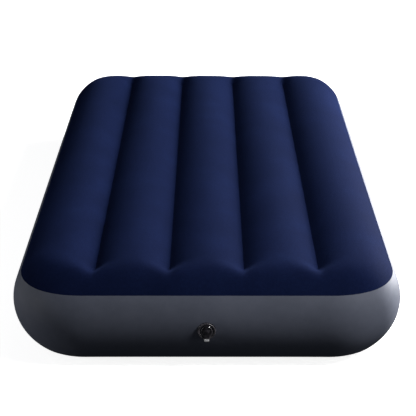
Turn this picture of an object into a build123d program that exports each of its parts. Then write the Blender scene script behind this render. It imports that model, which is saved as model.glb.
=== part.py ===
"""Single-bed air mattress, inflated: flocked top sheet, side wall, base sheet,
four tension beams that hold the top down in grooves, and a two-way screw valve.

Frame: +Z up, origin on the floor under the middle of the mattress, +X across the
bed, +Y towards the head end.  The valve is in the foot wall, facing -Y.
Millimetres throughout.
"""

import math
import os

from build123d import *

os.makedirs("parts", exist_ok=True)

# ------------------------------------------------------------------ envelope
WIDTH = 990.0  # across the bulged side walls
LENGTH = 1850.0  # over the bulged end walls
HEIGHT = 250.0  # floor to the crests of the top sheet
CORNER_R = 190.0  # plan radius of the widest outline
SKIN = 1.2  # sheet thickness, flock included
GAP = 0.3  # clearance where two curved skins are welded face to face

SEAM_IN = 27.0  # top seam, inset from the widest outline
SEAM_Z = 197.0  # height of the top seam
BASE_IN = 49.0  # base seam, inset from the widest outline
BASE_Z = 16.5  # height of the base seam

# ------------------------------------------------------------------ grooves
PITCH = 186.0  # beam to beam
GROOVE_X = [(-1.5 + i) * PITCH for i in range(4)]
GROOVE_DEPTH = 35.0
GROOVE_HALF = LENGTH / 2 - SEAM_IN - 98.0  # half the length of a beam
GROOVE_SPREAD = 86.0  # beam to where the groove's flank meets the crest
CREST_ANGLE = 10.0  # slope of the flank there
FLOOR_HALF = 3.0  # half the weld line's flat
BASE_DEPTH = 12.0
BASE_SPREAD = 60.0
STRIP_HALF = 12.0
STRIP_T = 0.8
WEB_T = 1.0

# ------------------------------------------------------------------ wall arc
# The wall is one circular arc, from the top seam to the base seam, tangent to
# the widest outline.  Its centre is WALL_R in from the outline, at WALL_Z.
_lo, _hi = BASE_Z, SEAM_Z
for _ in range(60):
    WALL_Z = (_lo + _hi) / 2
    _top = (SEAM_IN**2 + (SEAM_Z - GAP - WALL_Z) ** 2) / (2 * SEAM_IN)
    _low = (BASE_IN**2 + (WALL_Z - BASE_Z - GAP) ** 2) / (2 * BASE_IN)
    if _top > _low:
        _lo = WALL_Z
    else:
        _hi = WALL_Z
WALL_R = _top

# The top and base sheets leave their seams in line with the wall, and roll over on
# larger arcs until they are level: (centre inset, centre height, radius, seam normal).


def roll(inset, z, level):
    """The arc that leaves the wall's arc at (inset, z) in line, and is level at `level`."""
    ne, nz = (inset - WALL_R) / WALL_R, (z - WALL_Z) / WALL_R
    size = math.hypot(ne, nz)
    ne, nz = ne / size, nz / size
    r = abs(level - z) / (1 - abs(nz))
    return inset - r * ne, z - r * nz, r, (ne, nz)


TOP_ROLL = roll(SEAM_IN, SEAM_Z, HEIGHT)
BASE_ROLL = roll(BASE_IN, BASE_Z, 0.0)
STRAIGHT_X = WIDTH / 2 - CORNER_R
STRAIGHT_Y = LENGTH / 2 - CORNER_R

# ------------------------------------------------------------------ valve
VALVE_Z = 118.0
PORT_R = 6.5  # bore that takes the pump nozzle
BARREL_R = 15.4
MALE_R = 16.45
FEMALE_R = 15.9
INSERT_R = 16.8
PITCH_T = 4.0  # thread pitch
HEAD_R = 22.0
HEAD_TOP = 6.8
HINGE_Y = 15.5  # where the plug's strap bends, above the valve's axis
HINGE_U = 7.8

wall_e = WALL_R - math.sqrt(WALL_R**2 - (VALVE_Z - WALL_Z) ** 2)
tilt = math.asin((VALVE_Z - WALL_Z) / WALL_R)
valve_o = Vector(0, -(LENGTH / 2 - wall_e), VALVE_Z)
valve_n = Vector(0, -math.cos(tilt), math.sin(tilt))  # outward along the valve
valve_up = Vector(0, math.sin(tilt), math.cos(tilt))
FACE = Plane(origin=valve_o, x_dir=(1, 0, 0), z_dir=valve_n)


def at(x, y, u):
    """A point in the valve's own frame: across, up and outward."""
    return valve_o + Vector(x, 0, 0) + valve_up * y + valve_n * u


def flank(inset, flip=False):
    """The groove's flank, one arc on each side: centre, radius, and end angles.

    The centre is given from the beam out and above the crest's level; the angles
    are from the crest's normal, where the arc meets the crest and the flat floor.
    """
    depth, spread = (
        (BASE_DEPTH, BASE_SPREAD) if flip else (GROOVE_DEPTH, GROOVE_SPREAD)
    )
    b = math.radians(CREST_ANGLE)
    a = 2 * math.atan(depth / (spread - FLOOR_HALF)) - b
    r = (spread - FLOOR_HALF) / (math.sin(a) - math.sin(b))
    cx, cz = spread + r * math.sin(b), -r * math.cos(b)
    rho = r - inset
    crest = math.acos((r * math.cos(b) - inset) / rho)
    floor = math.acos((r * math.cos(a) - inset) / rho)
    return cx, cz, rho, crest, floor


def groove(inset, flip, both):
    """The groove's section, as a sketch: x from the beam, y is height."""
    cx, cz, rho, crest, floor = flank(inset, flip)
    up = -1 if flip else 1
    level = 0.0 if flip else HEIGHT

    def on(a, side):
        return (side * (cx - rho * math.sin(a)), level + up * (cz + rho * math.cos(a)))

    over = crest - math.radians(1.5)
    steps = [floor, (floor + over) / 2, over]
    clear = level + up * 6.0
    with BuildSketch() as section:
        with BuildLine():
            right = [on(a, 1) for a in steps]
            ThreePointArc(*right)
            if both:
                left = [on(a, -1) for a in steps]
                Line(left[0], right[0])
                ThreePointArc(*left)
                Polyline(
                    right[-1], (right[-1][0], clear), (left[-1][0], clear), left[-1]
                )
            else:
                Polyline(
                    right[-1],
                    (right[-1][0], clear),
                    (0, clear),
                    (0, right[0][1]),
                    right[0],
                )
        make_face()
    return section.sketch


def edge_section(shape, half, inset, flip):
    """The rolled edge from its seam in to the corner's axis, as a sketch.

    x runs inward from the widest outline at -half, y is height.  The inner form
    (inset above zero) runs on past the seam, so that taking it away leaves it open.
    """
    ce, cz, r, (ne, nz) = shape
    rr = r - inset
    level = inset if flip else HEIGHT - inset
    seam_e = SEAM_IN if not flip else BASE_IN
    seam_z = SEAM_Z if not flip else BASE_Z
    past = seam_z + (10 if flip else -10) if inset else seam_z
    a0, a1 = math.atan2(nz, ne), math.pi / 2 * (-1 if flip else 1)

    def on(a):
        return (ce + rr * math.cos(a) - half, cz + rr * math.sin(a))

    start = on(a0) if inset else (seam_e - half, seam_z)
    with BuildSketch() as section:
        with BuildLine():
            ThreePointArc(start, on((a0 + a1) / 2), on(a1))
            Line(on(a1), (CORNER_R - half, level))
            Line((CORNER_R - half, level), (CORNER_R - half, past))
            Line((CORNER_R - half, past), (start[0], past))
            if inset:
                Line((start[0], past), start)
        make_face()
    return section.sketch


def slab(shape, inset, flip):
    """The sheet's whole form before its grooves: rolled edges, corners and middle."""
    front = edge_section(shape, LENGTH / 2, inset, flip)
    side = edge_section(shape, WIDTH / 2, inset, flip)
    level = inset if flip else HEIGHT - inset
    seam_z = SEAM_Z if not flip else BASE_Z
    past = seam_z + (10 if flip else -10) if inset else seam_z
    with BuildPart() as form:
        with BuildSketch(Plane.YZ):
            add(front)
        extrude(amount=STRAIGHT_X)
        with BuildSketch(Plane.YZ.offset(STRAIGHT_X)):
            add(front)
        revolve(
            axis=Axis((STRAIGHT_X, -STRAIGHT_Y, 0), (0, 0, 1)), revolution_arc=90
        )
        with BuildSketch(Plane(origin=(0, 0, 0), x_dir=(-1, 0, 0), z_dir=(0, 1, 0))):
            add(side)
        extrude(amount=-STRAIGHT_Y)
        with BuildSketch(Plane.XY.offset(min(level, past))):
            with Locations((STRAIGHT_X / 2, -STRAIGHT_Y / 2)):
                Rectangle(STRAIGHT_X, STRAIGHT_Y)
        extrude(amount=abs(level - past))
        mirror(about=Plane.YZ)
        mirror(about=Plane.XZ)
    return form.part


def grooved(inset, flip):
    """What the top or base sheet encloses, `inset` inside its outer face."""
    blank = slab(BASE_ROLL if flip else TOP_ROLL, inset, flip)
    trough = groove(inset, flip, both=True)
    half_trough = groove(inset, flip, both=False)
    with BuildPart() as form:
        add(blank)
        for x in GROOVE_X:
            with BuildSketch(Plane.XZ.offset(-GROOVE_HALF)):
                with Locations((x, 0)):
                    add(trough)
            extrude(amount=2 * GROOVE_HALF, mode=Mode.SUBTRACT)
            for side in (1, -1):
                end = Plane(
                    origin=(x, side * GROOVE_HALF, 0),
                    x_dir=(1, 0, 0),
                    z_dir=(0, -1, 0),
                )
                with BuildSketch(end):
                    add(half_trough)
                revolve(
                    axis=Axis((x, side * GROOVE_HALF, 0), (0, 0, side)),
                    revolution_arc=180,
                    mode=Mode.SUBTRACT,
                )
    return form.part


# ================================================================== top sheet
with BuildPart() as top_sheet:
    add(grooved(0, False))
    add(grooved(SKIN, False), mode=Mode.SUBTRACT)

# ================================================================= base sheet
with BuildPart() as base_sheet:
    add(grooved(0, True))
    add(grooved(SKIN, True), mode=Mode.SUBTRACT)

# ================================================================== side wall


def wall_at(e, z):
    """Section point of the foot wall: e in from the widest outline, z up."""
    return (-(LENGTH / 2 - e), z)


def wall_arc(offset, z_from, z_to):
    """Three points of the wall's arc, `offset` inside its outer face."""
    r = WALL_R - offset
    pts = []
    for z in (z_from, (z_from + z_to) / 2, z_to):
        pts.append(wall_at(WALL_R - math.sqrt(r**2 - (z - WALL_Z) ** 2), z))
    return pts


z_top, z_low = SEAM_Z - GAP, BASE_Z + GAP

def band(out):
    """The wall's section: x runs inward from the widest outline at -out, y is height."""

    def p(e, z):
        return (e - out, z)

    def arc(offset, z_from, z_to):
        r = WALL_R - offset
        return [
            p(WALL_R - math.sqrt(r**2 - (z - WALL_Z) ** 2), z)
            for z in (z_from, (z_from + z_to) / 2, z_to)
        ]

    with BuildSketch() as section:
        with BuildLine():
            outer = arc(0, z_low, z_top)
            inner = arc(SKIN, z_top, z_low)
            ThreePointArc(*outer)
            Line(outer[-1], inner[0])
            ThreePointArc(*inner)
            Line(inner[-1], outer[0])
        make_face()
        # weld margins: joggled tongues that run on inside the top and base sheets
        for (ce, cz, r, (ne, nz)), e, z, long in (
            (TOP_ROLL, SEAM_IN, z_top, 10.0),
            (BASE_ROLL, BASE_IN, z_low, 8.0),
        ):
            te, tz = (nz, -ne) if nz > 0 else (-nz, ne)

            def q(along, deep):
                return (e + te * along - ne * deep - out, z + tz * along - nz * deep)

            with BuildLine():
                Polyline(
                    q(-4.0, 0.7),
                    q(-0.8, 0.7),
                    q(-0.6, 1.3),
                    q(long, 2.1),
                    q(long, 3.2),
                    q(-4.0, 2.4),
                    close=True,
                )
            make_face()
    return section.sketch


foot_band = band(LENGTH / 2)
long_band = band(WIDTH / 2)
with BuildPart() as side_wall:
    # foot wall, then its corner, then half of the long wall, and their mirror images
    with BuildSketch(Plane.YZ):
        add(foot_band)
    extrude(amount=STRAIGHT_X)
    with BuildSketch(Plane.YZ.offset(STRAIGHT_X)):
        add(foot_band)
    revolve(
        axis=Axis((STRAIGHT_X, -STRAIGHT_Y, 0), (0, 0, 1)), revolution_arc=90
    )
    with BuildSketch(Plane(origin=(0, 0, 0), x_dir=(-1, 0, 0), z_dir=(0, 1, 0))):
        add(long_band)
    extrude(amount=-STRAIGHT_Y)
    mirror(about=Plane.YZ)
    mirror(about=Plane.XZ)
    with BuildSketch(FACE.offset(-60)):
        Circle(20.5)
    extrude(amount=90, mode=Mode.SUBTRACT)

# ====================================================================== beams
top_in = HEIGHT - GROOVE_DEPTH - SKIN
low_in = BASE_DEPTH + SKIN
beams = []
flat_cx, _, flat_rho, _, flat_a = flank(SKIN)
for n, x in enumerate(GROOVE_X, 1):
    # the upper strip lies on the flat at the bottom of the groove
    flat = flat_cx - flat_rho * math.sin(flat_a)
    with BuildPart() as upper:
        with BuildSketch(Plane.XY.offset(top_in)):
            with Locations((x, 0)):
                SlotOverall(2 * GROOVE_HALF - 4, 2 * flat, rotation=90)
        extrude(amount=-STRIP_T)
        with BuildSketch(Plane.XY.offset(top_in - STRIP_T)):
            with Locations((x, 0)):
                Rectangle(2 * STRIP_HALF, 2 * GROOVE_HALF - 8)
        extrude(amount=-STRIP_T)
    with BuildPart() as lower:
        with BuildSketch(Plane.XY.offset(low_in)):
            with Locations((x, 0)):
                Rectangle(2 * FLOOR_HALF, 2 * GROOVE_HALF - 8)
        extrude(amount=STRIP_T)
        with BuildSketch(Plane.XY.offset(low_in + STRIP_T)):
            with Locations((x, 0)):
                Rectangle(2 * STRIP_HALF, 2 * GROOVE_HALF - 8)
        extrude(amount=STRIP_T)
    with BuildPart() as web:
        with BuildSketch(Plane.XY.offset(low_in + 2 * STRIP_T)):
            with Locations((x, 0)):
                Rectangle(WEB_T, 2 * GROOVE_HALF - 14)
        extrude(amount=top_in - low_in - 4 * STRIP_T)
    upper.part.label = f"beam_{n}_upper_strip"
    lower.part.label = f"beam_{n}_lower_strip"
    web.part.label = f"beam_{n}_web"
    beams += [upper, lower, web]

# ================================================================= valve base
# Soft moulding: a flange that follows the wall's inner face, and a neck through it.
with BuildPart() as valve_base:
    with BuildSketch(Plane.YZ.offset(-40)) as follow:
        with BuildLine():
            near = wall_arc(SKIN + GAP, VALVE_Z - 40, VALVE_Z + 40)
            far = wall_arc(SKIN + GAP + 1.5, VALVE_Z + 40, VALVE_Z - 40)
            ThreePointArc(*near)
            Line(near[-1], far[0])
            ThreePointArc(*far)
            Line(far[-1], near[0])
        make_face()
    extrude(amount=80)
    with BuildSketch(FACE.offset(-30)):
        Circle(31.0)
    extrude(amount=60, mode=Mode.INTERSECT)
    with BuildSketch(FACE.offset(-20)):
        Circle(20.2)
    extrude(amount=21.8)
    with BuildSketch(FACE.offset(0.3)):
        Circle(22.4)
    extrude(amount=1.5)
    with BuildSketch(FACE.offset(-30)):
        Circle(18.2)
    extrude(amount=60, mode=Mode.SUBTRACT)


def ridge(radius, out, width, start, turns, phase):
    """A trapezoid thread ridge about the valve's axis; out is +1 outward, -1 inward."""
    with BuildPart() as thread:
        with BuildLine() as spiral:
            Helix(
                pitch=PITCH_T,
                height=PITCH_T * turns,
                radius=radius,
                center=(0, 0, start),
                direction=(0, 0, 1),
            )
        path = spiral.edges()[0]
        p0 = path @ 0
        section = Plane(
            origin=p0,
            x_dir=(1, 0, 0),
            z_dir=path % 0,
        )
        with BuildSketch(section) as tooth:
            with BuildLine():
                h = 1.05 + 0.25
                Polyline(
                    (-out * 0.25, -width / 2),
                    (out * (h - 0.25), -width * 0.24),
                    (out * (h - 0.25), width * 0.24),
                    (-out * 0.25, width / 2),
                    close=True,
                )
            make_face()
        sweep(sections=tooth.sketch, path=path, is_frenet=True)
    return thread.part.rotate(Axis.Z, phase)


# ============================================================ threaded insert
with BuildPart() as insert_local:
    with BuildSketch(Plane.XY.offset(-18)):
        Circle(18.1)
        Circle(INSERT_R, mode=Mode.SUBTRACT)
    extrude(amount=19.6)
    add(ridge(INSERT_R, -1, 1.6, -15.5, 2.75, 0))
    with BuildSketch(Plane.XY.offset(-18)):
        Circle(FEMALE_R)
    extrude(amount=40, mode=Mode.SUBTRACT)
with BuildPart() as threaded_insert:
    add(FACE * insert_local.part)

# =============================================================== screw collar
with BuildPart() as collar_local:
    # barrel
    with BuildSketch(Plane.XY.offset(-15)):
        Circle(BARREL_R)
        Circle(13.4, mode=Mode.SUBTRACT)
    extrude(amount=15 + 3.4)
    # thread, half a pitch out of step with the insert's
    add(ridge(BARREL_R, 1, 1.6, -15.5 + PITCH_T / 2 + 0.9, 2.3, 81))
    with BuildSketch(Plane.XY.offset(-15.0)):
        Circle(30)
        Circle(MALE_R, mode=Mode.SUBTRACT)
    extrude(amount=17.0, mode=Mode.SUBTRACT)
    # head with two raised rings
    with BuildSketch(Plane.XZ) as head:
        with BuildLine():
            Polyline(
                (8.1, 3.2),
                (13.4, 3.2),
                (13.4, 2.8),
                (20.6, 2.8),
                (HEAD_R, 3.6),
                (HEAD_R, 5.2),
                (21.3, 6.3),
                (20.1, HEAD_TOP),
                (18.6, 6.4),
                (17.4, 5.2),
                (14.6, 5.0),
                (13.6, 6.2),
                (12.6, 6.6),
                (11.6, 6.2),
                (10.9, 5.0),
                (8.1, 5.0),
                close=True,
            )
        make_face()
    revolve(axis=Axis.Z)
    # grip flutes round the head
    with PolarLocations(HEAD_R + 0.9, 20, start_angle=9):
        Cylinder(1.5, 20, mode=Mode.SUBTRACT)
    # hole for the strap's button
    with BuildSketch(Plane.XY.offset(0)):
        with Locations((0, 19.35)):
            Circle(1.0)
    extrude(amount=20, mode=Mode.SUBTRACT)
with BuildPart() as screw_collar:
    add(FACE * collar_local.part)

# =============================================================== nozzle seat
# Soft tube pressed into the collar: the pump nozzle goes in its bore, the plug
# closes its mouth and the check flap its inner end.
with BuildPart() as seat_local:
    with BuildSketch(Plane.XY.offset(-12)):
        Circle(8.0)
    extrude(amount=12 + HEAD_TOP)
    with BuildSketch(Plane.XY.offset(1.2)):
        Circle(9.4)
    extrude(amount=1.9)
    # lugs for the flap's pin, on the inner end of the tube
    with BuildSketch(Plane.YZ.offset(-6.0)) as lug:
        with Locations((9.9, -12.5)):
            Circle(1.9)
        with BuildLine():
            Polyline((7.0, -10.0), (7.0, -6.5), (11.8, -12.5), (9.9, -14.0), close=True)
        make_face()
        with Locations((9.9, -12.5)):
            Circle(0.85, mode=Mode.SUBTRACT)
    extrude(amount=12)
    with BuildSketch(Plane.YZ.offset(-4.1)) as between:
        with Locations((9.9, -12.5)):
            Rectangle(5.2, 5.2)
    extrude(amount=8.2, mode=Mode.SUBTRACT)
    # the lugs keep out of the nozzle's bore and the flap's seat
    with BuildSketch(Plane.XY.offset(-30)):
        Circle(PORT_R)
    extrude(amount=60, mode=Mode.SUBTRACT)
    with BuildSketch(Plane.XY.offset(-14.6)):
        Circle(9.0)
    extrude(amount=2.6, mode=Mode.SUBTRACT)
with BuildPart() as nozzle_seat:
    add(FACE * seat_local.part)

# ============================================================== collar gasket
with BuildPart() as collar_gasket:
    with BuildSketch(FACE.offset(1.9)):
        Circle(20.4)
        Circle(16.7, mode=Mode.SUBTRACT)
    extrude(amount=0.85)

# ========================================================= check flap and pin
with BuildPart() as flap_local:
    with BuildSketch(Plane.XY.offset(-12.95)):
        Circle(8.4)
        with Locations((0, 7.2)):
            Rectangle(7.6, 5.4)
    extrude(amount=0.85)
    with BuildSketch(Plane.YZ.offset(-3.8)):
        with Locations((9.9, -12.5)):
            Circle(1.7)
    extrude(amount=7.6)
    with BuildSketch(Plane.YZ.offset(-5)):
        with Locations((9.9, -12.5)):
            Circle(0.88)
    extrude(amount=10, mode=Mode.SUBTRACT)
with BuildPart() as check_flap:
    add(FACE * flap_local.part)

with BuildPart() as pin_local:
    with BuildSketch(Plane.YZ.offset(-6.2)):
        with Locations((9.9, -12.5)):
            Circle(0.8)
    extrude(amount=12.4)
with BuildPart() as flap_pin:
    add(FACE * pin_local.part)

# ======================================================================= plug
with BuildPart() as plug_local:
    with BuildSketch(Plane.XY.offset(7.0)) as plate:
        Circle(9.2)
        with Locations((0, -15.5)):
            Rectangle(12.5, 21)
        with Locations((0, 10)):
            Rectangle(9.0, 6.0)
    extrude(amount=1.5)
    tab_end = plug_local.edges().filter_by(Axis.Z).group_by(Axis.Y)[0]
    fillet(tab_end, radius=2.6)
    # finger pad at the end of the tab
    with BuildSketch(Plane.XY.offset(8.5)):
        with Locations((0, -23.4)):
            RectangleRounded(11, 4.4, 1.6)
    extrude(amount=0.9, taper=20)
    # dome: a cap of a sphere, its centre on the axis
    cap_r = (6.0**2 + 2.1**2) / (2 * 2.1)
    cap_a = math.asin(6.0 / cap_r) / 2
    cap_mid = (cap_r * math.sin(cap_a), 10.6 - cap_r + cap_r * math.cos(cap_a))
    with BuildSketch(Plane.XZ):
        with BuildLine():
            Polyline((0, 10.6), (0, 8.2), (6.0, 8.2), (6.0, 8.5))
            ThreePointArc((6.0, 8.5), cap_mid, (0, 10.6))
        make_face()
    revolve(axis=Axis.Z)
    # stopper, tapered so that it swings out of the bore, and hollow
    with BuildSketch(Plane.XZ):
        with BuildLine():
            Polyline(
                (0, 7.0), (6.35, 7.0), (6.3, 6.2), (4.8, 0.0), (3.4, 0.0), (3.4, 5.6),
                (0, 5.6), close=True,
            )
        make_face()
    revolve(axis=Axis.Z)
with BuildPart() as plug:
    add(FACE * plug_local.part)

# ====================================================== plug strap and anchor
with BuildPart() as strap_local:
    with BuildSketch(Plane.XY.offset(7.1)):
        with BuildLine():
            Polyline((-4.5, 13), (4.5, 13), (5.6, 17.6), (-5.6, 17.6), close=True)
        make_face()
    extrude(amount=1.1)
with BuildPart() as plug_strap:
    add(FACE * strap_local.part)

with BuildPart() as anchor_local:
    with BuildSketch(Plane.XY.offset(7.0)):
        with BuildLine():
            Polyline(
                (-5.6, 17.6), (5.6, 17.6), (6.2, 20.2), (4.6, 21.6), (-4.6, 21.6),
                (-6.2, 20.2), close=True,
            )
        make_face()
    extrude(amount=1.4)
    with BuildSketch(Plane.XY.offset(4.0)):
        with Locations((0, 19.35)):
            Circle(0.9)
    extrude(amount=3.5)
    with BuildSketch(Plane.XY.offset(8.4)):
        with Locations((0, 19.35)):
            Circle(1.5)
    extrude(amount=0.5)
with BuildPart() as strap_anchor:
    add(FACE * anchor_local.part)

# ===================================================================== export
top_sheet.part.label = "top_sheet"
side_wall.part.label = "side_wall"
base_sheet.part.label = "base_sheet"
valve_base.part.label = "valve_base"
threaded_insert.part.label = "valve_threaded_insert"
collar_gasket.part.label = "valve_collar_gasket"
screw_collar.part.label = "valve_screw_collar"
nozzle_seat.part.label = "valve_nozzle_seat"
check_flap.part.label = "valve_check_flap"
flap_pin.part.label = "valve_flap_pin"
plug.part.label = "valve_plug"
plug_strap.part.label = "valve_plug_strap"
strap_anchor.part.label = "valve_strap_anchor"

pieces = [
    top_sheet,
    side_wall,
    base_sheet,
    *beams,
    valve_base,
    threaded_insert,
    collar_gasket,
    screw_collar,
    nozzle_seat,
    check_flap,
    flap_pin,
    plug,
    plug_strap,
    strap_anchor,
]
for piece in pieces:
    export_step(piece.part, f"parts/{piece.part.label}.step")

print("wall radius", round(WALL_R, 2), "centre height", round(WALL_Z, 2))
print("valve origin", valve_o, "outward", valve_n, "tilt", round(math.degrees(tilt), 3))
print("plug hinge", at(0, HINGE_Y, HINGE_U), "flap pin", at(0, 9.9, -12.5))
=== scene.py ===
"""Looks for the inflated single air mattress: flocked navy top, grey vinyl wall, black valve."""

import math

import bpy
import numpy as np
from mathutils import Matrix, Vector


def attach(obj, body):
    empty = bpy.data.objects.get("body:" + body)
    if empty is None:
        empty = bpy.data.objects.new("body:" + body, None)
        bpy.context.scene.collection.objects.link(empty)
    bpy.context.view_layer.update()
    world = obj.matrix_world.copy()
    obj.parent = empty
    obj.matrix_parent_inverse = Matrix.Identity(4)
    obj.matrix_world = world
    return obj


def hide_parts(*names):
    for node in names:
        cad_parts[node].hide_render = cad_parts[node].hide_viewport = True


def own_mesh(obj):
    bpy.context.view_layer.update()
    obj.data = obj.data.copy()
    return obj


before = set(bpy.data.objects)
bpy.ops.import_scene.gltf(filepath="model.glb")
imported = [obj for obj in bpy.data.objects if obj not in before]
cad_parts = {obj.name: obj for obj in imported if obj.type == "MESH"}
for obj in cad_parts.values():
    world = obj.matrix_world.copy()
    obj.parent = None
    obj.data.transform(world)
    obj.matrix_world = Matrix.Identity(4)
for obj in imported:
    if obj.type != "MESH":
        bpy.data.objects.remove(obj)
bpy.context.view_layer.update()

# ------------------------------------------------------------------ sizes (m)
HX, HY, TOP = 0.495, 0.925, 0.250
CORNER = 0.190
SEAM_X, SEAM_Y, SEAM_C, SEAM_Z = 0.0235, 0.0295, 0.0042, 0.197
BASE_IN, BASE_Z = 0.049, 0.0165
SX, SY = HX - CORNER, HY - CORNER
PITCH = 0.186
GROOVES = [(-1.5 + i) * PITCH for i in range(4)]
G_HALF = 0.800
G_DEPTH = 0.035
LOBE_R = (0.093**2 + G_DEPTH**2) / (2 * G_DEPTH)
BASE_DEPTH = 0.012


def seam_inset(kind, value):
    """How far the top seam lies in from the widest outline; a little less at the corners."""
    if kind in ("foot", "head"):
        return SEAM_Y
    if kind in ("left", "right"):
        return SEAM_X
    s2 = math.sin(value) ** 2
    return SEAM_X * (1 - s2) + SEAM_Y * s2 - SEAM_C * math.sin(2 * value) ** 2


def wall_circle(inset):
    """(radius, centre height) of the wall's arc through its seams and the widest outline."""
    lo, hi = BASE_Z, SEAM_Z
    for _ in range(45):
        z = (lo + hi) / 2
        a = (inset**2 + (SEAM_Z - z) ** 2) / (2 * inset)
        b = (BASE_IN**2 + (z - BASE_Z) ** 2) / (2 * BASE_IN)
        if a > b:
            lo = z
        else:
            hi = z
    return a, z


def edge_height(d, inset, level):
    """Height of the rolled edge, d in from the top seam: it leaves the wall almost in line."""
    r, z = wall_circle(inset)
    slope = math.atan2(r - inset, SEAM_Z - z) + EDGE_TURN
    rr = (level - SEAM_Z) / (1 - math.cos(slope))
    flat = rr * math.sin(slope)
    t = max(0.0, flat - d)
    return level - rr + math.sqrt(rr * rr - t * t)


EDGE_TURN = math.radians(0.0)


def smin(a, b, k):
    h = np.clip(0.5 + 0.5 * (b - a) / k, 0, 1)
    return b * (1 - h) + a * h - k * h * (1 - h)


def groove_distance(x, y, long_end=1.0, end=G_HALF):
    """Distance in plan to the nearest weld line; long_end stretches the fade past its end."""
    best = np.full(np.shape(x), 9.0)
    past = np.maximum(0, np.abs(y) - end) * long_end
    for gx in GROOVES:
        best = np.minimum(best, np.hypot(x - gx, past))
    return best


def top_height(x, y, d, inset):
    """Height of the top sheet over (x, y), d in from its seam."""
    z_edge = np.array([edge_height(a, b, TOP + 0.0015) for a, b in zip(d, inset)])
    s = np.full(np.shape(x), 9.0)
    for gx in GROOVES:
        s = np.minimum(s, np.abs(x - gx))
    # each groove narrows and shallows out towards its ends
    run = np.where(y < 0, 0.022, 0.016)
    u = np.clip((np.abs(y) - (G_HALF - run)) / 0.115, 0, 1)
    u = u * u * (3 - 2 * u)
    s = np.minimum(s * 0.093 / (0.093 - 0.050 * u), 0.093)
    z_lobe = -LOBE_R + np.sqrt(LOBE_R**2 - (0.093 - s) ** 2)
    z_lobe = TOP + z_lobe * (1 - u)
    z = smin(z_edge, z_lobe, 0.016)
    # a faint pucker runs on from each weld line's end towards the seam
    for gx in GROOVES:
        t = np.clip((np.abs(y) - G_HALF - 0.02) / 0.060, 0, 1)
        on = np.clip((np.abs(y) - G_HALF) / 0.03, 0, 1) * (1 - t) ** 1.6
        z = z - 0.0016 * on * np.exp(-(((x - gx) / (0.008 + 0.014 * t)) ** 2))
    # the lobes sit very slightly unevenly
    z = z + 0.0012 * np.sin(3.1 * y + 9 * x + 0.7) * np.clip(d / 0.12, 0, 1) * np.clip(s / 0.05, 0, 1)
    return z


def base_height(x, y, d, inset):
    r, z = wall_circle(SEAM_Y)
    slope = math.atan2(r - BASE_IN, z - BASE_Z)
    rr = BASE_Z / (1 - math.cos(slope))
    t = np.clip(rr * math.sin(slope) - d, 0, None)
    z_edge = rr - np.sqrt(rr * rr - t * t)
    s = groove_distance(x, y, 1.0)
    t = np.clip(1 - s / 0.062, 0, 1)
    z_lobe = BASE_DEPTH * t**1.7
    return np.maximum(z_edge, z_lobe)


# ------------------------------------------------------------------ stations
def steps(a, b, n):
    return [a + (b - a) * i / n for i in range(n)]


NC = 48  # cells across the three middle pitches
cols = steps(-SX, -1.5 * PITCH, 2) + steps(-1.5 * PITCH, 1.5 * PITCH, NC) + steps(1.5 * PITCH, SX, 2) + [SX]
NROW = 128
rows = steps(-SY, SY, NROW) + [SY]
NANG = 26
RINGS = 13  # rings of cells from a seam in to the corner's pole; one lies on the weld ends

stations = []  # (kind, value) round the outline, counter-clockwise from the foot's left corner
for x in cols[:-1]:
    stations.append(("foot", x))
for i in range(NANG):
    stations.append(("c0", -math.pi / 2 + math.pi / 2 * i / NANG))
for y in rows[:-1]:
    stations.append(("right", y))
for i in range(NANG):
    stations.append(("c1", math.pi / 2 * i / NANG))
for x in reversed(cols[1:]):
    stations.append(("head", x))
for i in range(NANG):
    stations.append(("c2", math.pi / 2 + math.pi / 2 * i / NANG))
for y in reversed(rows[1:]):
    stations.append(("left", y))
for i in range(NANG):
    stations.append(("c3", math.pi + math.pi / 2 * i / NANG))
CENTRE = {"c0": (SX, -SY), "c1": (SX, SY), "c2": (-SX, SY), "c3": (-SX, -SY)}


def plan(station, e):
    k, v = station
    if k == "foot":
        return v, -(HY - e)
    if k == "head":
        return v, HY - e
    if k == "right":
        return HX - e, v
    if k == "left":
        return -(HX - e), v
    cx, cy = CENTRE[k]
    r = CORNER - e
    return cx + r * math.cos(v), cy + r * math.sin(v)


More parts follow.
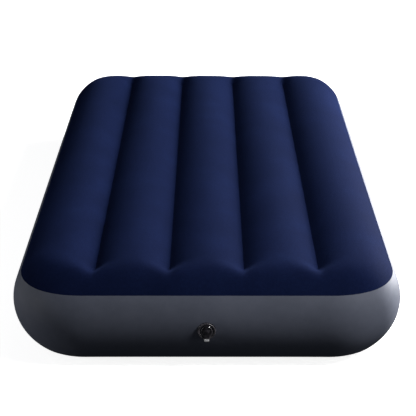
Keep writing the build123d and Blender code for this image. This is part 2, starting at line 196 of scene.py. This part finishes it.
def cap(insets, f, flip):
    """Vertices and faces of the top (or base) from its seam to its middle."""
    n = len(stations)
    verts, faces = [], []
    weld = HY - G_HALF
    for r in range(RINGS):
        e = []
        for i in insets:
            e.append(i + (weld - i) * r / 8 if r <= 8 else weld + (CORNER - weld) * (r - 8) / 5)
        p = np.array([plan(s, a) for s, a in zip(stations, e)])
        z = f(p[:, 0], p[:, 1], np.array(e) - insets, insets)
        verts.append(np.column_stack([p, z]))
    verts = np.vstack(verts)
    for r in range(RINGS - 1):
        for i in range(n):
            j = (i + 1) % n
            faces.append((r * n + i, r * n + j, (r + 1) * n + j, (r + 1) * n + i))
    start = RINGS * n
    gx, gy = (a.ravel() for a in np.meshgrid(cols, rows, indexing="ij"))
    dx, dy = HX - np.abs(gx), HY - np.abs(gy)
    near = np.where(dx < dy, SEAM_X, SEAM_Y) if not flip else np.full(len(gx), BASE_IN)
    gz = f(gx, gy, np.minimum(dx, dy) - near, near)
    verts = np.vstack([verts, np.column_stack([gx, gy, gz])])
    nr = len(rows)

    def grid(i, j):
        return start + i * nr + j

    for i in range(len(cols) - 1):
        for j in range(nr - 1):
            faces.append((grid(i, j), grid(i + 1, j), grid(i + 1, j + 1), grid(i, j + 1)))
    # which grid vertex each station meets
    meet = []
    for k, v in stations:
        if k == "foot":
            meet.append(grid(cols.index(v), 0))
        elif k == "head":
            meet.append(grid(cols.index(v), nr - 1))
        elif k == "right":
            meet.append(grid(len(cols) - 1, rows.index(v)))
        elif k == "left":
            meet.append(grid(0, rows.index(v)))
        else:
            i = len(cols) - 1 if k in ("c0", "c1") else 0
            j = 0 if k in ("c0", "c3") else nr - 1
            meet.append(grid(i, j))
    last = (RINGS - 1) * n
    for i in range(n):
        j = (i + 1) % n
        a, b = meet[i], meet[j]
        if a == b:
            faces.append((last + i, last + j, a))
        else:
            faces.append((last + i, last + j, b, a))
    if flip:
        faces = [tuple(reversed(q)) for q in faces]
    return verts, faces


def wall_ring(t):
    """Points of the wall, t from 0 at the top seam to 1 at the base seam."""
    out = []
    for station, inset in zip(stations, top_in):
        r, z = circles[inset]
        a0 = math.atan2(SEAM_Z - z, inset - r)
        a1 = math.atan2(BASE_Z - z, BASE_IN - r) + 2 * math.pi
        a = a0 + (a1 - a0) * t
        x, y = plan(station, r + r * math.cos(a))
        out.append((x, y, z + r * math.sin(a)))
    return np.array(out)


NS = len(stations)
top_in = np.array([round(seam_inset(k, v), 6) for k, v in stations])
base_in = np.full(NS, BASE_IN)
circles = {i: wall_circle(i) for i in set(top_in.tolist())}
tv, tf = cap(top_in, top_height, False)
bv, bf = cap(base_in, base_height, True)
WN = 18
wv = np.vstack([wall_ring(k / WN) for k in range(1, WN)])
verts = np.vstack([tv, wv, bv])
ow, ob = len(tv), len(tv) + len(wv)
faces = list(tf)
tags = [0] * len(tf)
loops = [list(range(NS))] + [[ow + r * NS + i for i in range(NS)] for r in range(WN - 1)] + [[ob + i for i in range(NS)]]
for r in range(len(loops) - 1):
    for i in range(NS):
        j = (i + 1) % NS
        faces.append((loops[r + 1][i], loops[r + 1][j], loops[r][j], loops[r][i]))
        tags.append(1)
faces += [tuple(ob + i for i in q) for q in bf]
tags += [2] * len(bf)
tags = np.array(tags)
analytic = verts.copy()


def new_object(name, v, f, smooth=True):
    me = bpy.data.meshes.new(name)
    me.from_pydata([tuple(p) for p in v], [], [tuple(q) for q in f])
    me.validate()
    me.update()
    ob = bpy.data.objects.new(name, me)
    bpy.context.scene.collection.objects.link(ob)
    if smooth:
        me.polygons.foreach_set("use_smooth", [True] * len(me.polygons))
    return ob


# ------------------------------------------------------- inflate by simulation
def inflate(v, f, frames=24):
    """The air pushes the skin out while the weld lines and the floor hold it."""
    ob = new_object("inflating", v, f)
    x, y, z = v[:, 0], v[:, 1], v[:, 2]
    e = np.minimum(HX - np.abs(x), HY - np.abs(y))
    s = groove_distance(x, y)
    pin = np.where((s < 0.0015) & ((z > 0.19) | (z < 0.03)), 1.0, 0.0)
    pin = np.where((z < 0.001), 1.0, pin)
    group = ob.vertex_groups.new(name="held")
    for i in np.nonzero(pin)[0]:
        group.add([int(i)], float(pin[i]), "REPLACE")
    cloth = ob.modifiers.new("air", "CLOTH")
    c = cloth.settings
    c.quality = 5
    c.mass = 0.35
    c.tension_stiffness = c.compression_stiffness = 60
    c.shear_stiffness = 40
    c.bending_stiffness = 2.0
    c.tension_damping = c.compression_damping = 25
    c.air_damping = 6
    c.use_pressure = True
    c.uniform_pressure_force = 3.0
    c.effector_weights.gravity = 0
    c.vertex_group_mass = "held"
    cloth.collision_settings.use_collision = False
    cloth.point_cache.frame_start, cloth.point_cache.frame_end = 1, frames
    scene = bpy.context.scene
    scene.frame_start, scene.frame_end = 1, frames
    for k in range(1, frames + 1):
        scene.frame_set(k)
    deps = bpy.context.evaluated_depsgraph_get()
    out = np.empty(len(v) * 3)
    ob.evaluated_get(deps).data.vertices.foreach_get("co", out)
    out = out.reshape(-1, 3)
    bpy.data.objects.remove(ob, do_unlink=True)
    scene.frame_set(1)
    return out


move = np.zeros_like(verts)
done = inflate(verts, faces)
move = done - verts
print("inflated: largest move", np.linalg.norm(move, axis=1).max(), "mean", np.linalg.norm(move, axis=1).mean())
far = np.linalg.norm(move, axis=1)
cap_at = 0.006
move *= (np.tanh(far / cap_at) * cap_at / np.maximum(far, 1e-9))[:, None]
verts = verts + move


def part(tag, name):
    pick = [q for q, t in zip(faces, tags) if t == tag]
    used = sorted({i for q in pick for i in q})
    index = {i: k for k, i in enumerate(used)}
    return new_object(name, verts[used], [[index[i] for i in q] for q in pick]), used


top, top_used = part(0, "flocked_top_sheet")
wall, wall_used = part(1, "grey_side_wall")
base, base_used = part(2, "grey_base_sheet")


def crease_grooves(ob, low, high):
    me = ob.data
    co = np.array([v.co for v in me.vertices])
    s = groove_distance(co[:, 0], co[:, 1])
    on = s < 0.0012
    at = me.attributes.get("crease_edge") or me.attributes.new("crease_edge", "FLOAT", "EDGE")
    val = [0.85 if on[a] and on[b] else 0.0 for a, b in (e.vertices for e in me.edges)]
    at.data.foreach_set("value", val)


crease_grooves(top, 0.19, 0.3)


def finish_skin(ob, levels, thick, offset=-1.0):
    sub = ob.modifiers.new("smooth", "SUBSURF")
    sub.levels = sub.render_levels = levels
    sub.boundary_smooth = "ALL"
    sol = ob.modifiers.new("skin", "SOLIDIFY")
    sol.thickness = thick
    sol.offset = offset
    sol.use_rim = True
    sol.use_even_offset = False
    bpy.context.view_layer.objects.active = ob
    for o in bpy.context.selected_objects:
        o.select_set(False)
    ob.select_set(True)
    for m in list(ob.modifiers):
        bpy.ops.object.modifier_apply(modifier=m.name)
    ob.data.polygons.foreach_set("use_smooth", [True] * len(ob.data.polygons))
    ob.data.set_sharp_from_angle(angle=math.radians(55))


finish_skin(top, 1, 0.0009)
finish_skin(wall, 1, 0.0009)
finish_skin(base, 1, 0.0009)


# ------------------------------------------------------------------ materials
def material(name):
    m = bpy.data.materials.new(name)
    m.use_nodes = True
    nt = m.node_tree
    b = nt.nodes["Principled BSDF"]
    return m, nt, b


def node(nt, kind, **kw):
    n = nt.nodes.new(kind)
    for k, v in kw.items():
        if k in n.inputs.keys():
            n.inputs[k].default_value = v
        else:
            setattr(n, k, v)
    return n


def srgb(r, g, b):
    def f(c):
        c /= 255
        return c / 12.92 if c <= 0.04045 else ((c + 0.055) / 1.055) ** 2.4

    return (f(r), f(g), f(b), 1)


def noise(nt, coord, scale, detail=3.0, rough=0.5, **kw):
    n = node(nt, "ShaderNodeTexNoise", **kw)
    n.inputs["Scale"].default_value = scale
    n.inputs["Detail"].default_value = detail
    n.inputs["Roughness"].default_value = rough
    nt.links.new(coord, n.inputs["Vector"])
    return n.outputs["Fac"]


def ramp(nt, fac, stops):
    r = nt.nodes.new("ShaderNodeValToRGB")
    while len(r.color_ramp.elements) < len(stops):
        r.color_ramp.elements.new(0.5)
    for el, (p, c) in zip(r.color_ramp.elements, stops):
        el.position = p
        el.color = c
    nt.links.new(fac, r.inputs["Fac"])
    return r.outputs["Color"]


def maths(nt, op, a, b, clamp=False):
    n = node(nt, "ShaderNodeMath", operation=op)
    n.use_clamp = clamp
    for k, v in enumerate((a, b)):
        if isinstance(v, (int, float)):
            n.inputs[k].default_value = v
        else:
            nt.links.new(v, n.inputs[k])
    return n.outputs[0]


def bump(nt, height, strength, distance, normal=None):
    n = node(nt, "ShaderNodeBump")
    n.inputs["Strength"].default_value = strength
    n.inputs["Distance"].default_value = distance
    nt.links.new(height, n.inputs["Height"])
    if normal is not None:
        nt.links.new(normal, n.inputs["Normal"])
    return n.outputs["Normal"]


def flock():
    """Navy flock: short upright fibre, dark where it is seen straight on, with a soft sheen."""
    m, nt, b = material("navy_flock")
    tc = nt.nodes.new("ShaderNodeTexCoord").outputs["Object"]
    nap = noise(nt, tc, 7.0, 4.0, 0.55)  # where the nap has been brushed
    grain = noise(nt, tc, 900.0, 2.0, 0.7)  # fibre tips
    clump = noise(nt, tc, 160.0, 3.0, 0.6)
    mix = maths(nt, "ADD", maths(nt, "MULTIPLY", nap, 0.55), maths(nt, "MULTIPLY", clump, 0.45))
    colour = ramp(nt, mix, [(0.30, srgb(11, 19, 44)), (0.50, srgb(14, 22, 50)), (0.72, srgb(18, 28, 59))])
    speck = ramp(nt, grain, [(0.35, (0.82, 0.82, 0.84, 1)), (0.65, (1.12, 1.12, 1.10, 1))])
    mul = node(nt, "ShaderNodeMix", data_type="RGBA", blend_type="MULTIPLY")
    mul.inputs[0].default_value = 1.0
    nt.links.new(colour, mul.inputs[6])
    nt.links.new(speck, mul.inputs[7])
    nt.links.new(mul.outputs[2], b.inputs["Base Color"])
    rough = maths(nt, "ADD", maths(nt, "MULTIPLY", nap, 0.12), 0.80)
    nt.links.new(rough, b.inputs["Roughness"])
    b.inputs["Specular IOR Level"].default_value = 0.01
    b.inputs["Sheen Weight"].default_value = 0.04
    b.inputs["Sheen Roughness"].default_value = 0.38
    b.inputs["Sheen Tint"].default_value = srgb(112, 138, 220)
    n1 = bump(nt, grain, 0.35, 0.0006)
    n2 = bump(nt, clump, 0.25, 0.0008, n1)
    n3 = bump(nt, nap, 0.12, 0.004, n2)
    nt.links.new(n3, b.inputs["Normal"])
    return m


def vinyl(name, dark, mid, light, rough=0.42, fine=1.0):
    """Smooth grey vinyl sheet with a fine matt emboss and slow unevenness."""
    m, nt, b = material(name)
    tc = nt.nodes.new("ShaderNodeTexCoord").outputs["Object"]
    cloud = noise(nt, tc, 5.0, 3.0, 0.5)
    scuff = noise(nt, tc, 55.0, 5.0, 0.65)
    grain = noise(nt, tc, 1400.0, 2.0, 0.6)
    mix = maths(nt, "ADD", maths(nt, "MULTIPLY", cloud, 0.7), maths(nt, "MULTIPLY", scuff, 0.3))
    colour = ramp(nt, mix, [(0.32, dark), (0.5, mid), (0.70, light)])
    nt.links.new(colour, b.inputs["Base Color"])
    r = maths(nt, "ADD", maths(nt, "MULTIPLY", scuff, 0.16), rough - 0.08)
    nt.links.new(r, b.inputs["Roughness"])
    b.inputs["Specular IOR Level"].default_value = 0.22
    n1 = bump(nt, grain, 0.22 * fine, 0.0003)
    n2 = bump(nt, cloud, 0.06, 0.004, n1)
    nt.links.new(n2, b.inputs["Normal"])
    return m


def moulded(name, colour, light, rough=0.22, coat=0.4, grain_scale=700.0, strength=0.08):
    """Glossy moulded plastic or soft vinyl, with faint flow marks."""
    m, nt, b = material(name)
    tc = nt.nodes.new("ShaderNodeTexCoord").outputs["Object"]
    flow = noise(nt, tc, 90.0, 3.0, 0.5)
    grain = noise(nt, tc, grain_scale, 2.0, 0.5)
    nt.links.new(ramp(nt, flow, [(0.35, colour), (0.70, light)]), b.inputs["Base Color"])
    nt.links.new(maths(nt, "ADD", maths(nt, "MULTIPLY", flow, 0.14), rough - 0.07), b.inputs["Roughness"])
    b.inputs["Coat Weight"].default_value = coat
    b.inputs["Coat Roughness"].default_value = 0.12
    nt.links.new(bump(nt, grain, strength, 0.0002), b.inputs["Normal"])
    return m


def tab_painted_highlight(m, level):
    """Paints a pale highlight onto the end of the plug's pull tab, below the given height in its own frame."""
    nt = m.node_tree
    b = nt.nodes["Principled BSDF"]
    old = b.inputs["Base Color"].links[0].from_socket
    sep = nt.nodes.new("ShaderNodeSeparateXYZ")
    nt.links.new(nt.nodes.new("ShaderNodeTexCoord").outputs["Object"], sep.inputs[0])
    # mask for the painted highlight: the tab's end below the given height
    fac = maths(nt, "MULTIPLY", maths(nt, "SUBTRACT", level, sep.outputs["Z"]), 1600.0, clamp=True)
    mix = node(nt, "ShaderNodeMix", data_type="RGBA")
    nt.links.new(fac, mix.inputs[0])
    nt.links.new(old, mix.inputs[6])
    # painted highlight: the tab's end is coloured pale grey, standing in for a gloss highlight
    mix.inputs[7].default_value = srgb(214, 214, 216)
    nt.links.new(mix.outputs[2], b.inputs["Base Color"])


def strands():
    """Curtain of upright polyester threads."""
    m, nt, b = material("beam_fibre")
    tc = nt.nodes.new("ShaderNodeTexCoord").outputs["Object"]
    wave = node(nt, "ShaderNodeTexWave", bands_direction="Y", wave_type="BANDS")
    wave.inputs["Scale"].default_value = 160.0
    wave.inputs["Distortion"].default_value = 1.2
    nt.links.new(tc, wave.inputs["Vector"])
    nt.links.new(ramp(nt, wave.outputs["Fac"], [(0.2, srgb(150, 150, 146)), (0.8, srgb(226, 226, 220))]), b.inputs["Base Color"])
    b.inputs["Roughness"].default_value = 0.7
    nt.links.new(bump(nt, wave.outputs["Fac"], 0.5, 0.0008), b.inputs["Normal"])
    return m


FLOCK = flock()
WALL = vinyl("grey_wall_vinyl", srgb(76, 80, 92), srgb(83, 87, 100), srgb(90, 94, 107), rough=0.60)
BASE = vinyl("grey_base_vinyl", srgb(58, 60, 66), srgb(66, 68, 75), srgb(76, 78, 85), rough=0.55, fine=1.6)
STRIP = vinyl("weld_strip_vinyl", srgb(64, 66, 72), srgb(74, 76, 82), srgb(84, 86, 92), rough=0.5)
HARD = moulded("valve_hard_black", srgb(70, 67, 72), srgb(90, 87, 92), rough=0.28, coat=0.8)
SOFT = moulded("valve_soft_black", srgb(30, 31, 35), srgb(44, 45, 50), rough=0.27, coat=0.3, grain_scale=420.0, strength=0.14)
PLUG = moulded("valve_plug_black", srgb(40, 38, 43), srgb(54, 52, 57), rough=0.27, coat=0.4, grain_scale=420.0, strength=0.14)
# the plug's pull tab end gets a painted highlight (pale grey colour)
tab_painted_highlight(PLUG, 0.118 - 0.0185)
RUBBER = moulded("gasket_rubber", srgb(14, 14, 15), srgb(22, 22, 23), rough=0.6, coat=0.0)
FIBRE = strands()


def coat(ob, m):
    ob.data.materials.clear()
    ob.data.materials.append(m)


coat(top, FLOCK)
coat(wall, WALL)
coat(base, BASE)

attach(top, "sleeping_surface")
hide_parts("top_sheet")
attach(wall, "envelope")
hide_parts("side_wall")
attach(base, "envelope")
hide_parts("base_sheet")
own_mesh(top)
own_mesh(wall)
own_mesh(base)

# ------------------------------------------------- the beams' curtains of fibre
WEB_LOW, WEB_HIGH = 0.0148, 0.2122
for n, gx in enumerate(GROOVES, 1):
    long_, tall = G_HALF - 0.007, 12
    along = 420
    v, f = [], []
    for i in range(along + 1):
        y = -long_ + 2 * long_ * i / along
        for k in range(tall + 1):
            t = k / tall
            lean = 0.0011 * math.sin(2 * math.pi * (i / 3.0 + 0.13 * n)) * math.sin(math.pi * t) ** 0.5
            v.append((gx + lean, y, WEB_LOW + (WEB_HIGH - WEB_LOW) * t))
    for i in range(along):
        for k in range(tall):
            c = i * (tall + 1) + k
            f.append((c, c + tall + 1, c + tall + 2, c + 1))
    curtain = new_object(f"beam_{n}_curtain", v, f)
    sol = curtain.modifiers.new("yarn", "SOLIDIFY")
    sol.thickness = 0.0007
    sol.offset = 0.0
    bpy.context.view_layer.objects.active = curtain
    for o in bpy.context.selected_objects:
        o.select_set(False)
    curtain.select_set(True)
    bpy.ops.object.modifier_apply(modifier="yarn")
    coat(curtain, FIBRE)
    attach(curtain, "envelope")
    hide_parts(f"beam_{n}_web")
    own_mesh(curtain)

# ------------------------------------------------------------ the plug's strap
VY, VZ = -0.925, 0.118
v, f = [], []
nu, nv = 12, 8
for layer in (0, 1):
    for i in range(nu + 1):
        t = i / nu
        z = VZ + 0.0130 + 0.0046 * t
        half = 0.0045 + 0.0011 * t
        arch = 0.0006 * math.sin(math.pi * t)
        for k in range(nv + 1):
            w = 2 * k / nv - 1
            soft = 0.00018 * w**6
            out = 0.0071 + arch + (0.0011 - soft if layer else soft)
            v.append((w * half, VY - out, z))
m = (nu + 1) * (nv + 1)


def cell(layer, i, k):
    return layer * m + i * (nv + 1) + k


for i in range(nu):
    for k in range(nv):
        f.append((cell(1, i, k), cell(1, i, k + 1), cell(1, i + 1, k + 1), cell(1, i + 1, k)))
        f.append((cell(0, i, k), cell(0, i + 1, k), cell(0, i + 1, k + 1), cell(0, i, k + 1)))
for i in range(nu):
    f.append((cell(0, i, 0), cell(1, i, 0), cell(1, i + 1, 0), cell(0, i + 1, 0)))
    f.append((cell(0, i, nv), cell(0, i + 1, nv), cell(1, i + 1, nv), cell(1, i, nv)))
for k in range(nv):
    f.append((cell(0, 0, k), cell(0, 0, k + 1), cell(1, 0, k + 1), cell(1, 0, k)))
    f.append((cell(0, nu, k), cell(1, nu, k), cell(1, nu, k + 1), cell(0, nu, k + 1)))
strap = new_object("valve_bending_strap", v, f)
coat(strap, PLUG)
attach(strap, "valve_collar")
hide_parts("valve_plug_strap")
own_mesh(strap)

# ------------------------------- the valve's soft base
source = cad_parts["valve_base"]
mesh = source.data.copy()
mesh.transform(source.matrix_world)
soft_base = bpy.data.objects.new("valve_soft_base", mesh)
bpy.context.scene.collection.objects.link(soft_base)
coat(soft_base, SOFT)
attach(soft_base, "valve_seat")
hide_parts("valve_base")
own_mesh(soft_base)

# ------------------------------------------------------------- CAD nodes' looks
LOOK = {
    "valve_base": SOFT,
    "valve_threaded_insert": HARD,
    "valve_collar_gasket": RUBBER,
    "valve_screw_collar": HARD,
    "valve_nozzle_seat": SOFT,
    "valve_check_flap": SOFT,
    "valve_flap_pin": HARD,
    "valve_plug": PLUG,
    "valve_plug_strap": PLUG,
    "valve_strap_anchor": PLUG,
}
for name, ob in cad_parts.items():
    if name in LOOK:
        m = LOOK[name]
    elif name.endswith("_web"):
        m = FIBRE
    elif name.endswith("_strip"):
        m = STRIP
    else:
        continue
    for sl in ob.material_slots:
        sl.material = m
    if not ob.material_slots:
        ob.data.materials.append(m)

# ------------------------------------------------------------------ the stage
floor = new_object("floor", [(-35, -35, 0), (35, -35, 0), (35, 35, 0), (-35, 35, 0)], [(0, 1, 2, 3)], smooth=False)
fm, fnt, fb = material("pale_floor")
fb.inputs["Base Color"].default_value = (0.90, 0.90, 0.90, 1)
fb.inputs["Roughness"].default_value = 0.9
fb.inputs["Specular IOR Level"].default_value = 0.1
fb.inputs["Emission Color"].default_value = (1, 1, 1, 1)
fb.inputs["Emission Strength"].default_value = 0.87
coat(floor, fm)
floor.visible_diffuse = False
floor.visible_glossy = False

world = bpy.data.worlds.new("studio")
bpy.context.scene.world = world
world.use_nodes = True
world.node_tree.nodes["Background"].inputs["Color"].default_value = (0.78, 0.87, 1, 1)
world.node_tree.nodes["Background"].inputs["Strength"].default_value = 0.035


def area(name, at, look, size, power, colour=(1, 1, 1)):
    light = bpy.data.lights.new(name, "AREA")
    light.shape = "RECTANGLE"
    light.size, light.size_y = size
    light.energy = power
    light.color = colour
    ob = bpy.data.objects.new(name, light)
    bpy.context.scene.collection.objects.link(ob)
    ob.location = at
    ob.rotation_euler = (Vector(look) - Vector(at)).to_track_quat("-Z", "Y").to_euler()
    return ob


area("key_right", (3.4, 2.2, 1.05), (0.0, 0.1, 0.2), (0.7, 2.8), 790)
area("overhead", (0.3, 0.9, 4.0), (0, 0.1, 0.2), (3.4, 3.4), 6)
area("front_top", (1.7, -1.42, 2.0), (0.3, -0.93, 0.17), (0.7, 0.5), 56)
area("rim_left", (-3.0, 0.6, 0.5), (-0.3, 0.0, 0.2), (0.4, 2.8), 12)
area("strip_right", (2.6, -1.36, 0.5), (0.0, -0.93, 0.12), (0.4, 1.0), 12)
area("strip_left", (-2.6, -1.36, 0.5), (0.0, -0.93, 0.12), (0.4, 1.0), 14)

cam_data = bpy.data.cameras.new("camera")
cam = bpy.data.objects.new("camera", cam_data)
bpy.context.scene.collection.objects.link(cam)
cam_data.sensor_width = 36.0
cam_data.lens = 1204.5 / 416.0 * 36.0
cam.location = (0.0051, -3.5047, 1.5198)
cam.rotation_euler = (math.radians(90 - 22.709), 0, 0.0008)
cam_data.clip_end = 120
bpy.context.scene.camera = cam
bpy.context.scene.view_settings.view_transform = "Standard"
